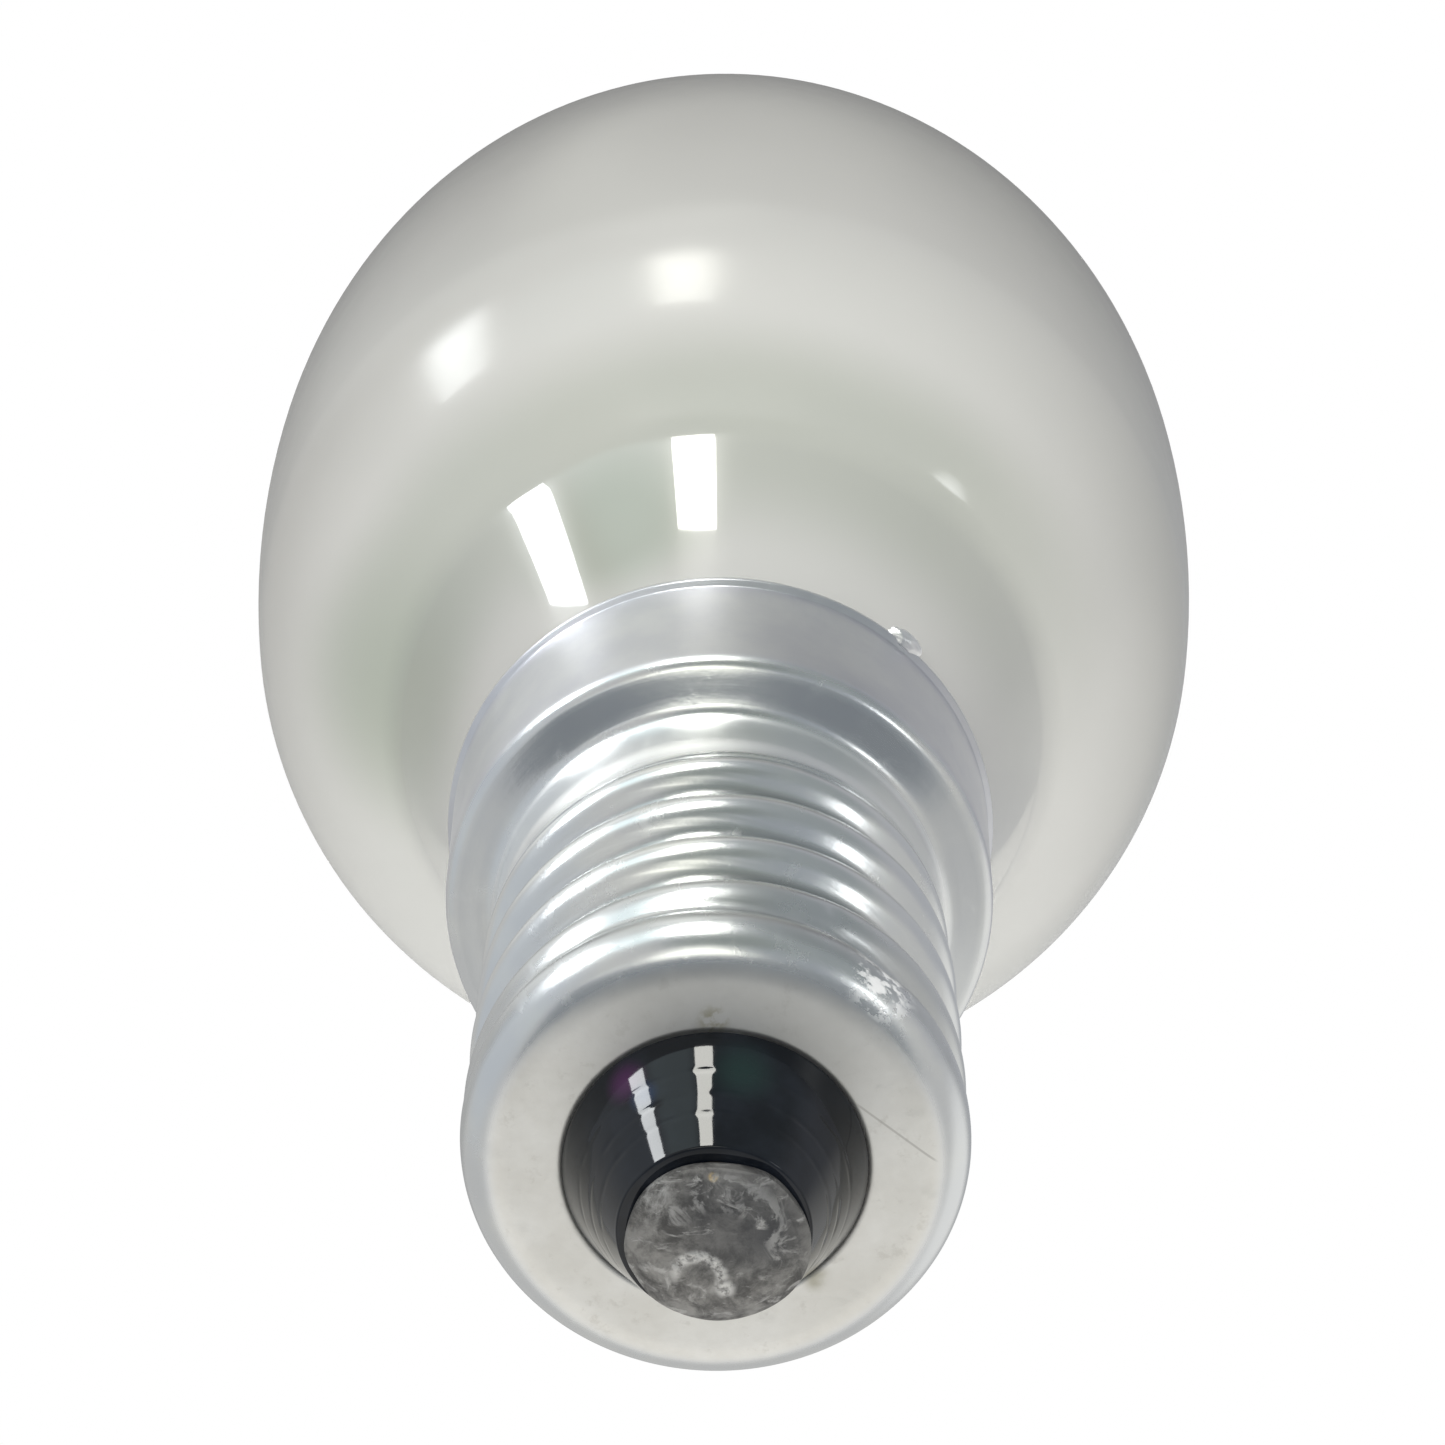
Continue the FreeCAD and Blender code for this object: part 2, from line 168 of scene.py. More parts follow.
class Value:
    """A shader node's output that Python's operators work on: each of them adds a Math node."""

    def __init__(self, finish, socket):
        self.finish = finish
        self.socket = socket

    def maths(self, operation, *values):
        """The socket's value and any others, put through a Math node."""
        return self.finish.node("ShaderNodeMath", {"operation": operation}, dict(enumerate((self, *values))))

    def __add__(self, other):
        return self.maths("ADD", other)

    def __sub__(self, other):
        return self.maths("SUBTRACT", other)

    def __rsub__(self, other):
        return self.finish.node("ShaderNodeMath", {"operation": "SUBTRACT"}, {0: other, 1: self})

    def __mul__(self, other):
        return self.maths("MULTIPLY", other)

    __radd__ = __add__
    __rmul__ = __mul__


class Finish:
    """A material. Its nodes are added one by one, each from its type, its settings and its sockets' values."""

    def __init__(self, name):
        self.material = bpy.data.materials.new(name)
        self.material.use_nodes = True
        self.tree = self.material.node_tree
        self.shader = self.tree.nodes["Principled BSDF"]

    def feed(self, socket, value):
        if isinstance(value, Value):
            self.tree.links.new(value.socket, socket)
        else:
            socket.default_value = value

    def node(self, kind, settings, inputs, output=0):
        node = self.tree.nodes.new(kind)
        for name, value in settings.items():
            setattr(node, name, value)
        for name, value in inputs.items():
            self.feed(node.inputs[name], value)
        return Value(self, node.outputs[output])

    def place(self):
        return self.node("ShaderNodeTexCoord", {}, {}, "Object")

    def height(self):
        return self.node("ShaderNodeSeparateXYZ", {}, {"Vector": self.place()}, "Z")

    def stretched(self, scale, turn=(0, 0, 0)):
        return self.node("ShaderNodeMapping", {}, {
            "Vector": self.place(), "Scale": scale, "Rotation": turn})

    def cloud(self, vector, scale, detail=4.0, roughness=0.55, distortion=0.0):
        return self.node("ShaderNodeTexNoise", {}, {
            "Vector": vector, "Scale": scale, "Detail": detail, "Roughness": roughness, "Distortion": distortion})

    def rise(self, value, low, high):
        """0 below low and 1 above high, with a smooth step between; low may be the larger of the two."""
        return self.node("ShaderNodeMapRange", {"interpolation_type": "SMOOTHSTEP"}, {
            "Value": value, "From Min": low, "From Max": high})

    def band(self, start, full, still_full, end):
        """0 below the first height up the lamp, 1 between the middle two and 0 above the last."""
        return self.rise(self.height(), start, full) - self.rise(self.height(), still_full, end)

    def mix(self, share, first, second):
        """A colour between two. Sockets 6 and 7 are the Mix node's two colours, and 2 its colour output."""
        return self.node("ShaderNodeMix", {"data_type": "RGBA"}, {0: share, 6: first, 7: second}, 2)

    def distance(self, centre):
        return self.node("ShaderNodeVectorMath", {"operation": "DISTANCE"}, {
            0: self.place(), 1: centre}, "Value")

    def spot(self, centre, reach, soft):
        """1 within a distance of a point of the object, fading to 0 over a soft edge."""
        return self.rise(self.distance(centre), reach + soft, reach)

    def ring(self, centre, radius, faded, full):
        """1 near the ring at a radius round a point, fading to 0 away from it."""
        return self.rise((self.distance(centre) - radius).maths("ABSOLUTE"), faded, full)

    def bump(self, height, strength, distance):
        return self.node("ShaderNodeBump", {}, {"Height": height, "Strength": strength, "Distance": distance})

    def set(self, **inputs):
        for name, value in inputs.items():
            self.feed(self.shader.inputs[name.replace("_", " ")], value)


pearl = Finish("pearl glass")
milk = pearl.cloud(pearl.place(), 38.0, 3.0)
specks = pearl.cloud(pearl.place(), 900.0, 2.0)
on_neck = pearl.rise(pearl.height(), 37 * mm, 33.5 * mm)
# Two darker, greener spots on the neck: painted shade.
painted_shade_spots = (
    ((-3.6 * mm, -8.9 * mm, 30.0 * mm), 1.2 * mm, 3.0 * mm),
    ((-10.4 * mm, -1.5 * mm, 32.8 * mm), 1.0 * mm, 5.5 * mm))
pearl_colour = pearl.mix(pearl.rise(milk, 0.35, 0.65), (0.575, 0.575, 0.545, 1), (0.615, 0.61, 0.58, 1))
# A darker, greener band round the flare, strongest on its -Y side: painted shade.
flare_front = pearl.spot((-2 * mm, -11 * mm, 33 * mm), 9 * mm, 11 * mm)
painted_flare_shade = pearl.band(27.8 * mm, 32.2 * mm, 34.0 * mm, 36.3 * mm) * flare_front
pearl_colour = pearl.mix(painted_flare_shade * 0.85, pearl_colour, (0.435, 0.45, 0.40, 1))
for centre, reach, soft in painted_shade_spots:
    pearl_colour = pearl.mix(pearl.spot(centre, reach, soft), pearl_colour, (0.37, 0.395, 0.335, 1))
pearl.set(
    Base_Color=pearl_colour,
    Roughness=0.17 + 0.06 * specks,
    Specular_IOR_Level=0.3,
    Coat_Weight=on_neck,
    Coat_Roughness=0.03,
    Coat_IOR=1.7)
bulb.data.materials.append(pearl.material)
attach(bulb, "root")
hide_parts("glass_envelope")


# The screw cap. Sheet aluminium is drawn to a cup, its foot is pierced and its thread rolled in, and the skirt
# that takes the glass is left plain, with its top edge turned out to a small bead. The ridges and the rim are
# scuffed, and the thread's roots are darkened: painted shade, with some grime.
sheet_thickness = 0.25 * mm
foot_hole_radius = 4.1 * mm
rim_radius = 1.35 * mm
thread_crest_radius = 6.9 * mm
thread_pitch = 2.822 * mm
thread_depth = 0.8 * mm
thread_length = 12.2 * mm
thread_fade_in = 2.0 * mm
thread_fade_out = 2.6 * mm
thread_crest_height = 10.44 * mm
thread_crest_azimuth = -90.0
cap_neck_radius = 6.72 * mm
cap_neck_length = 1.5 * mm
cap_neck_bend = 0.65 * mm
shoulder_rise = 0.75 * mm
skirt_foot_radius = 8.3 * mm
skirt_top_radius = 8.45 * mm
skirt_bend = 0.55 * mm
bead_height = 0.4 * mm
bead_reach = cap_high.x
bead_bend = 0.08 * mm
bead_edge_radius = 0.12 * mm
thread_start = cap_low.z + rim_radius
thread_end = thread_start + thread_length
neck_start = thread_end + 0.1 * mm
neck_end = thread_end + cap_neck_length
skirt_start = neck_end + shoulder_rise
shoulder_lean = math.degrees(math.atan2(skirt_foot_radius - cap_neck_radius, shoulder_rise))
skirt_lean = math.degrees(math.atan2(skirt_top_radius - skirt_foot_radius, cap_high.z - skirt_start))
bead_start = cap_high.z - bead_height
bead_lean = 45

sheet = Outline(foot_hole_radius, cap_low.z, 90)
sheet.run(thread_crest_radius - rim_radius - foot_hole_radius, 8)
sheet.bend(rim_radius, 0, 16)
sheet.run(thread_length, 108)
sheet.end(cap_neck_radius, neck_start)
sheet.corner(cap_neck_radius, neck_end, cap_neck_bend, shoulder_lean, 7, 4)
sheet.corner(skirt_foot_radius, skirt_start, skirt_bend, skirt_lean, 9, 3)
sheet.corner(skirt_top_radius, bead_start, bead_bend, bead_lean, 3, 8)
sheet.corner(bead_reach, bead_start + bead_reach - skirt_top_radius, bead_bend, 0, 3)
sheet.corner(bead_reach, cap_high.z, bead_edge_radius, -90, 5)
sheet.run(bead_edge_radius)
cap = turned("screw_cap", sheet, 240)


def smooth_step(value):
    value = min(max(value, 0.0), 1.0)
    return value * value * (3 - 2 * value)


def rolled_radius(height, azimuth):
    """The thread's radius at a place: equal arcs at crest and root, run out into the rim and into the neck."""
    quarter = thread_pitch / 4
    arc_radius = (quarter ** 2 + (thread_depth / 2) ** 2) / thread_depth
    turns = (azimuth - thread_crest_azimuth) / 360
    along = (height - thread_crest_height - turns * thread_pitch) % thread_pitch
    from_crest = min(along, thread_pitch - along)
    from_root = thread_pitch / 2 - from_crest
    if from_crest <= quarter:
        groove = arc_radius - math.sqrt(arc_radius ** 2 - from_crest ** 2)
    else:
        groove = thread_depth - arc_radius + math.sqrt(arc_radius ** 2 - from_root ** 2)
    fade_in = smooth_step((height - thread_start) / thread_fade_in)
    fade_out = smooth_step((thread_end - height) / thread_fade_out)
    to_neck = (thread_crest_radius - cap_neck_radius) * (1 - fade_out)
    return thread_crest_radius - to_neck - groove * fade_in * fade_out


height_slack = 0.01 * mm
handling_dents = 0.012 * mm
dent_spacing = 2.4 * mm
knocks = (
    (Vector((0.95, -6.80, 8.55)) * mm, 0.28 * mm, 0.09 * mm),
    (Vector((3.15, -6.10, 7.55)) * mm, 0.22 * mm, 0.07 * mm),
    (Vector((4.45, -5.25, 6.15)) * mm, 0.75 * mm, 0.10 * mm),
    (Vector((3.60, -5.75, 6.75)) * mm, 0.45 * mm, 0.08 * mm),
    (Vector((-3.90, -5.55, 6.60)) * mm, 0.40 * mm, 0.05 * mm))
for vertex in cap.data.vertices:
    radius = math.hypot(vertex.co.x, vertex.co.y)
    dent = handling_dents * noise.noise(vertex.co / dent_spacing)
    for place, reach, depth in knocks:
        dent -= depth * math.exp(-((vertex.co - place).length / reach) ** 2)
    wall_radius = radius
    if thread_start < vertex.co.z <= thread_end + height_slack:
        wall_radius = rolled_radius(vertex.co.z, math.degrees(math.atan2(vertex.co.y, vertex.co.x)))
    if vertex.co.z > thread_start:
        wall_radius = min(wall_radius + dent, bead_reach)
    vertex.co.x *= wall_radius / radius
    vertex.co.y *= wall_radius / radius

bpy.ops.object.select_all(action="DESELECT")
bpy.context.view_layer.objects.active = cap
cap.select_set(True)
wall = cap.modifiers.new("wall", "SOLIDIFY")
wall.thickness = sheet_thickness
wall.offset = -1
bpy.ops.object.modifier_apply(modifier="wall")

foot_height = cap_low.z
scratch_turn = math.radians(38)
aluminium = Finish("satin aluminium")
on_foot = aluminium.rise(aluminium.height(), 4.46 * mm, 4.31 * mm)
on_plain_neck = aluminium.band(16.9 * mm, 17.5 * mm, 19.2 * mm, 19.4 * mm)
on_shoulder = aluminium.band(19.40 * mm, 19.62 * mm, 19.86 * mm, 20.02 * mm)
on_skirt = aluminium.rise(aluminium.height(), 20.05 * mm, 20.4 * mm)
turning_lines = aluminium.cloud(aluminium.stretched((60, 60, 9000)), 1.0, 3.0)
grain = aluminium.cloud(aluminium.place(), 3200.0, 4.0)
blotches = aluminium.cloud(aluminium.place(), 420.0, 5.0)
dull_flecks = aluminium.rise(aluminium.cloud(aluminium.place(), 1500.0, 5.0, 0.7), 0.56, 0.70)
scuffs = aluminium.rise(aluminium.cloud(aluminium.stretched((900, 900, 260)), 1.0, 6.0, 0.65), 0.55, 0.72)
from_axis = aluminium.node("ShaderNodeVectorMath", {"operation": "LENGTH"}, {
    0: aluminium.stretched((1, 1, 0))}, "Value")
in_thread = aluminium.rise(aluminium.height(), 5.2 * mm, 5.9 * mm)
# The thread's roots are darkened: painted shade, with some grime.
root_grime_and_shade = aluminium.rise(from_axis, 6.38 * mm, 6.14 * mm) * in_thread * (0.45 + 0.55 * blotches)
# The lowest turns are darker, in blotches: painted shade.
shaded_lower_turns = aluminium.band(4.9 * mm, 5.2 * mm, 6.9 * mm, 8.9 * mm) * (
    0.5 + 0.5 * aluminium.rise(blotches, 0.35, 0.6))
chafed = aluminium.rise(aluminium.cloud(aluminium.stretched((1, 1, 2.2)), 1500.0, 5.0, 0.7), 0.47, 0.56)
worn = aluminium.spot((4.36 * mm, -5.15 * mm, 5.25 * mm), 0.45 * mm, 0.9 * mm) * chafed
side_stain = aluminium.spot((2.83 * mm, 3.37 * mm, foot_height), 0.10 * mm, 0.45 * mm)
hole_stain = aluminium.spot((-0.12 * mm, -4.45 * mm, foot_height), 0.15 * mm, 0.40 * mm)
foot_stains = side_stain * aluminium.rise(blotches, 0.3, 0.55) + hole_stain * aluminium.rise(grain, 0.4, 0.6)
along_scratch = aluminium.node("ShaderNodeMapping", {"vector_type": "TEXTURE"}, {
    "Vector": aluminium.place(), "Location": (4.81 * mm, -1.17 * mm, foot_height),
    "Rotation": (0, 0, scratch_turn)})
scratch_x = aluminium.node("ShaderNodeSeparateXYZ", {}, {"Vector": along_scratch}, "X").maths("ABSOLUTE")
scratch_y = aluminium.node("ShaderNodeSeparateXYZ", {}, {"Vector": along_scratch}, "Y").maths("ABSOLUTE")
in_scratch = aluminium.rise(scratch_x, 1.55 * mm, 1.2 * mm) * aluminium.rise(scratch_y, 0.045 * mm, 0.015 * mm)
bright_blotches = aluminium.rise(blotches, 0.35, 0.7)
plain_colour = aluminium.mix(bright_blotches, (0.76, 0.775, 0.79, 1), (0.82, 0.83, 0.82, 1))
skirt_colour = aluminium.mix(bright_blotches, (0.655, 0.66, 0.70, 1), (0.715, 0.72, 0.74, 1))
foot_colour = aluminium.mix(aluminium.rise(blotches, 0.3, 0.7), (0.74, 0.73, 0.695, 1), (0.83, 0.825, 0.80, 1))
flecked_foot = aluminium.mix(dull_flecks * 0.28 + grain * 0.25, foot_colour, (0.50, 0.48, 0.44, 1))
# The foot is darker round a place on its -Y side: painted shade.
painted_foot_shade = aluminium.spot((1.0 * mm, -5.6 * mm, foot_height), 2.2 * mm, 5.0 * mm)
shaded_foot = aluminium.mix(painted_foot_shade * 0.52, flecked_foot, (0.42, 0.43, 0.43, 1))
stained_foot = aluminium.mix(foot_stains * 0.7, shaded_foot, (0.33, 0.31, 0.22, 1))
scratched_foot = aluminium.mix(in_scratch * on_foot * 0.6, stained_foot, (0.42, 0.41, 0.39, 1))
wall_colour = aluminium.mix(on_skirt, plain_colour, skirt_colour)
# The plain neck is lighter: a painted highlight.
wall_colour = aluminium.mix(on_plain_neck, wall_colour, (0.93, 0.935, 0.93, 1))
# The flat shoulder is darker: painted shade.
wall_colour = aluminium.mix(on_shoulder * 0.5, wall_colour, (0.60, 0.62, 0.64, 1))
wall_colour = aluminium.mix(shaded_lower_turns * 0.55, wall_colour, (0.44, 0.455, 0.46, 1))
wall_colour = aluminium.mix(root_grime_and_shade, wall_colour, (0.22, 0.23, 0.23, 1))
worn_wall = aluminium.mix(worn, wall_colour, (0.93, 0.93, 0.92, 1))
aluminium.set(
    Base_Color=aluminium.mix(on_foot, worn_wall, scratched_foot),
    Metallic=1.0 - 0.55 * worn,
    Roughness=(
        0.215 + 0.06 * blotches + 0.08 * scuffs + 0.05 * shaded_lower_turns + 0.1 * on_plain_neck + 0.1 * on_skirt
        - 0.06 * on_shoulder + 0.2 * on_foot + 0.25 * worn),
    Normal=aluminium.bump(
        turning_lines * 0.45 + grain * 0.5 + scuffs * 0.45 + grain * worn * 1.5 + grain * on_foot * 0.5,
        0.25, 0.02 * mm))
cap.data.materials.append(aluminium.material)
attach(cap, "root")
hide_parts("screw_shell")

# The insulator. Black glass is pressed into the cap's foot while hot: a plug inside, and a polished cone that
# comes out through the hole and ends in a thin lip round the contact. Faint rings from the press cross the cone.
insulator_low, insulator_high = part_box("insulator")
lip_inner_radius = 2.1 * mm
lip_radius = 2.54 * mm
lip_bend = 0.09 * mm
plug_radius = insulator_high.x
plug_foot = cap_low.z + sheet_thickness
plug_edge = 0.6 * mm
bore_radius = 0.4 * mm
recess_top = insulator_low.z + 0.3 * mm
tube_socket_radius = 0.8 * mm
tube_socket_top = recess_top + 1.4 * mm
cone_lean = math.degrees(math.atan2(foot_hole_radius - lip_radius, cap_low.z - insulator_low.z))
press_rings = (1.95 * mm, 2.53 * mm, 3.2 * mm)
press_ring_depth = 0.018 * mm
press_ring_width = 0.07 * mm

plug = Outline(bore_radius, insulator_high.z, 180)
plug.end(bore_radius, tube_socket_top)
plug.end(tube_socket_radius, tube_socket_top)
plug.end(tube_socket_radius, recess_top)
plug.end(lip_inner_radius, recess_top)
plug.end(lip_inner_radius, insulator_low.z)
plug.lean = 90
plug.corner(lip_radius, insulator_low.z, lip_bend, cone_lean, 5)
plug.run(math.dist(plug.points[-1], (foot_hole_radius, cap_low.z)), 64)
plug.end(foot_hole_radius, plug_foot)
plug.end(plug_radius, plug_foot)
plug.lean = 0
plug.corner(plug_radius, insulator_high.z, plug_edge, -90, 6)
plug.end(bore_radius, insulator_high.z)
insulator = turned("insulator_glass", plug, 160)

press_ripple = 0.010 * mm
ripple_spacing = 0.9 * mm
for vertex in insulator.data.vertices:
    if not insulator_low.z + lip_bend < vertex.co.z < cap_low.z - lip_bend:
        continue
    radius = math.hypot(vertex.co.x, vertex.co.y)
    if radius < lip_radius:
        continue
    sink = press_ripple * (noise.noise(vertex.co / ripple_spacing) - 1) / 2
    for ring_height in press_rings:
        break_up = 0.5 + noise.noise(vertex.co / ripple_spacing * 1.9)
        sink -= press_ring_depth * break_up * math.exp(-((vertex.co.z - ring_height) / press_ring_width) ** 2)
    vertex.co.x *= (radius + sink) / radius
    vertex.co.y *= (radius + sink) / radius

black_glass = Finish("black glass")
smear = black_glass.cloud(black_glass.place(), 700.0, 4.0)
glass_black = black_glass.mix(
    black_glass.rise(smear, 0.4, 0.7), (0.002, 0.003, 0.005, 1), (0.006, 0.008, 0.012, 1))
# Purple, blue and green patches on the cone's -Y side: a painted sheen.
sheen_tint_strength = 0.8
painted_sheen_tints = (
    ((-2.45 * mm, -3.00 * mm, 3.6 * mm), 0.1 * mm, 0.7 * mm, (0.050, 0.012, 0.055, 1)),
    ((-2.00 * mm, -3.05 * mm, 2.9 * mm), 0.1 * mm, 0.5 * mm, (0.012, 0.030, 0.075, 1)),
    ((0.70 * mm, -3.60 * mm, 3.2 * mm), 0.1 * mm, 1.1 * mm, (0.008, 0.022, 0.020, 1)))
for centre, reach, soft, tint in painted_sheen_tints:
    glass_black = black_glass.mix(black_glass.spot(centre, reach, soft) * sheen_tint_strength, glass_black, tint)
black_glass.set(
    Base_Color=glass_black,
    Roughness=0.03 + 0.05 * smear,
    IOR=1.5,
    Specular_IOR_Level=0.42,
    Normal=black_glass.bump(smear, 0.04, 0.02 * mm))
insulator.data.materials.append(black_glass.material)
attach(insulator, "root")
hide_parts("insulator")

# The centre contact. A button of tin solder fills the eyelet in the insulator's nose. Turning in lampholders
# has scraped it dull and bright by turns, and its edge isn't quite round.
solder_low, solder_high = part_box("contact_solder")
button_radius = 2.4 * mm
button_land_radius = 0.9 * mm
button_side_start = 0.55 * mm
button_edge = 0.15 * mm
stem_radius = 0.5 * mm
button_reach = button_radius - button_land_radius
dome_radius = (button_reach ** 2 + button_side_start ** 2) / (2 * button_side_start)
dome_lean = 90 - math.degrees(math.asin(button_reach / dome_radius))

button = Outline(0, solder_low.z, 90)
button.run(button_land_radius, 14)
button.bend(dome_radius, dome_lean, 30)
button.lean = 0
button.corner(button_radius, insulator_low.z, button_edge, -90, 5, 3)
button.end(stem_radius, insulator_low.z)
button.end(stem_radius, solder_high.z)
button.end(0, solder_high.z)
contact = turned("solder_button", button, 160)

off_centre = Vector((0.10, 0.10, 0)) * mm
worn_short = 0.95
lump_height = 0.07 * mm
lump_spacing = 1.3 * mm
for vertex in contact.data.vertices:
    radius = math.hypot(vertex.co.x, vertex.co.y)
    if radius > lip_inner_radius and vertex.co.z > button_side_start / 2:
        swell = 1 + lump_height * noise.noise(vertex.co / lump_spacing) / radius
        vertex.co.x *= swell
        vertex.co.y *= swell
    if vertex.co.z < insulator_low.z / 2:
        vertex.co.z += lump_height * abs(noise.noise(vertex.co / lump_spacing * 1.7))
    if vertex.co.z < insulator_low.z + height_slack:
        vertex.co.y *= worn_short
        vertex.co += off_centre

solder = Finish("scraped solder")
grime = solder.cloud(solder.place(), 1300.0, 7.0, 0.7, 0.35)
fine_grime = solder.cloud(solder.place(), 4200.0, 4.0, 0.6)
crumbs = solder.rise(fine_grime, 0.35, 0.55)
scratches = solder.cloud(solder.stretched((800, 1500, 1000), (0, 0, 0.7)), 1.0, 6.0, 0.62, 1.4)
swirls = solder.cloud(solder.place(), 1000.0, 6.0, 0.62, 1.6)
arc = solder.ring((-0.42 * mm, 0.82 * mm, 0.1 * mm), 0.65 * mm, 0.24 * mm, 0.05 * mm)
arc_part = solder.spot((-0.30 * mm, 0.28 * mm, 0.1 * mm), 0.55 * mm, 0.6 * mm)
turned_ring = solder.ring((0.1 * mm, 0.1 * mm, 0.3 * mm), 1.7 * mm, 0.6 * mm, 0.2 * mm)
# The button's left edge is lighter: a painted highlight, joined to the scraped places below.
painted_edge_highlight = solder.spot((-1.65 * mm, -1.35 * mm, 0.45 * mm), 0.15 * mm, 0.75 * mm)
bare_and_highlit_places = (
    turned_ring * solder.rise(swirls, 0.50, 0.62) * 0.4,
    arc * solder.rise(fine_grime, 0.34, 0.58) * solder.rise(grime, 0.32, 0.50) * arc_part,
    solder.spot((0.30 * mm, 1.12 * mm, 0.1 * mm), 0.10 * mm, 0.26 * mm) * crumbs,
    painted_edge_highlight * solder.rise(grime, 0.42, 0.62) * 0.6)
bared_and_highlit = solder.rise(scratches, 0.56, 0.70) * 0.6
for lighter_place in bare_and_highlit_places:
    bared_and_highlit = bared_and_highlit.maths("MAXIMUM", lighter_place)
gold_fleck = solder.spot((-0.05 * mm, -2.0 * mm, 0.35 * mm), 0.02 * mm, 0.16 * mm) * crumbs
# The button is darker on its +X side: painted shade.
painted_button_shade = (
    solder.spot((0.6 * mm, -0.9 * mm, 0.1 * mm), 0.6 * mm, 1.7 * mm) * 0.6
    + solder.spot((1.7 * mm, -0.3 * mm, 0.3 * mm), 0.3 * mm, 1.0 * mm) * 0.35)
dull_tin = solder.mix(solder.rise(grime, 0.34, 0.66), (0.075, 0.073, 0.07, 1), (0.245, 0.24, 0.228, 1))
dull_tin = solder.mix(painted_button_shade, dull_tin, (0.055, 0.056, 0.06, 1))
tin_colour = solder.mix(bared_and_highlit, dull_tin, (0.58, 0.575, 0.56, 1))
solder.set(
    Base_Color=solder.mix(gold_fleck, tin_colour, (0.60, 0.42, 0.15, 1)),
    Metallic=0.6 + 0.35 * bared_and_highlit,
    Roughness=0.42 - 0.12 * bared_and_highlit + 0.15 * fine_grime,
    Normal=solder.bump(grime * 0.8 + fine_grime * 0.35 + bared_and_highlit * 0.5, 0.7, 0.05 * mm))
contact.data.materials.append(solder.material)
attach(contact, "root")
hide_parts("contact_solder")

# The soldered end of the side lead. A drop of solder was run along the skirt's bead and round the lead's end, so
# it is longer than it is high, and it set with a wrinkled, bright skin.
spot_low, spot_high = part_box("side_solder")
spot_centre = (spot_low + spot_high) / 2
spot_out = Vector((spot_centre.x, spot_centre.y, 0)).normalized()
spot_along = Vector((-spot_out.y, spot_out.x, 0))
spot_length = 1.45 * mm
spot_depth = 0.80 * mm
spot_height = 0.80 * mm
spot_wrinkle = 0.07 * mm
spot_shift = 0.10 * mm
bpy.ops.object.select_all(action="DESELECT")
bpy.ops.mesh.primitive_ico_sphere_add(subdivisions=5, radius=0.5)
drop = bpy.context.object
drop.name = "solder_drop"
for vertex in drop.data.vertices:
    wrinkle = 1 - spot_wrinkle / spot_height * (1 + noise.noise(vertex.co * 4.5))
    along, out, up = vertex.co * wrinkle
    vertex.co = spot_centre + spot_along * along * spot_length + spot_out * (out * spot_depth + spot_shift)
    vertex.co.z += up * spot_height - spot_shift
bpy.ops.object.shade_smooth()

spot_solder = Finish("bright solder")
spot_grain = spot_solder.cloud(spot_solder.place(), 2600.0, 4.0)
spot_solder.set(
    Base_Color=spot_solder.mix(spot_grain, (0.80, 0.80, 0.81, 1), (0.94, 0.94, 0.94, 1)),
    Metallic=1.0,
    Roughness=0.30 + 0.2 * spot_grain,
    Normal=spot_solder.bump(spot_grain, 0.4, 0.05 * mm))
drop.data.materials.append(spot_solder.material)
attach(drop, "root")
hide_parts("side_solder")

# The lead wires, from the seal to the centre contact and to the skirt's edge: bare drawn wire, slightly dulled.
wire = Finish("lead wire")
draw_lines = wire.cloud(wire.stretched((9000, 9000, 300)), 1.0, 3.0)
wire.set(
    Base_Color=wire.mix(draw_lines, (0.42, 0.37, 0.30, 1), (0.66, 0.62, 0.55, 1)),
    Metallic=1.0,
    Roughness=0.3 + 0.15 * draw_lines)
for name in ("centre_lead", "side_lead"):
    cad[name].data.materials.clear()
    cad[name].data.materials.append(wire.material)

# The eyelet in the insulator's nose, pressed from brass and hidden by the solder.
brass = Finish("eyelet brass")
tarnish = brass.cloud(brass.place(), 900.0, 4.0)
brass.set(
    Base_Color=brass.mix(tarnish, (0.50, 0.36, 0.15, 1), (0.78, 0.62, 0.32, 1)),
    Metallic=1.0,
    Roughness=0.25 + 0.25 * tarnish)
cad["contact_eyelet"].data.materials.clear()
cad["contact_eyelet"].data.materials.append(brass.material)

# The cement between the glass neck and the skirt: resin and marble flour, baked hard, matt and a little gritty.
cement = Finish("capping cement")
grit = cement.cloud(cement.place(), 3500.0, 5.0)
cement.set(
    Base_Color=cement.mix(grit, (0.42, 0.34, 0.22, 1), (0.62, 0.55, 0.42, 1)),
    Roughness=0.8 + 0.1 * grit,
    Normal=cement.bump(grit, 0.5, 0.05 * mm))
cad["capping_cement"].data.materials.clear()
cad["capping_cement"].data.materials.append(cement.material)

